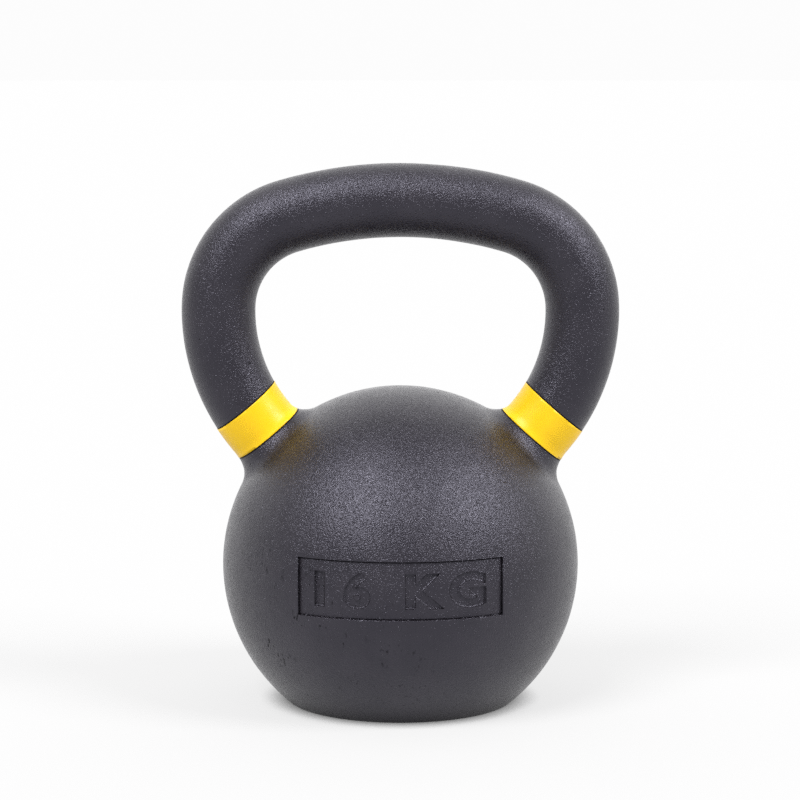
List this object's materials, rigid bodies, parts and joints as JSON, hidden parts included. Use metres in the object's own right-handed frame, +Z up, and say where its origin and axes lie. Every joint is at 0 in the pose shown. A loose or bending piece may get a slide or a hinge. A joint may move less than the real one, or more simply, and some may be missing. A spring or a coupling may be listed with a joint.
{
  "type": "kettlebell",
  "caption": "Cast-iron kettlebell: a ball with a flat base and a round bar handle whose legs flare into it, with a marking pocket in front and a colour band round each leg.",
  "frame": {"origin": "centre of the flat base, on the floor that the kettlebell stands on", "axes": "+Z up through the middle of the grip, +X across the handle from its left leg to its right leg as seen from the front, -Y towards the marking pocket"},
  "size_m": [0.192, 0.1565, 0.2373],
  "materials": {
    "black_powder_coat": "fine-textured black powder coat on grey iron, satin",
    "yellow_band": "smooth semi-gloss yellow"
  },
  "bodies": {
    "root": {"iron_casting": "black_powder_coat", "left_colour_band": "yellow_band", "right_colour_band": "yellow_band"}
  },
  "joints": []
}
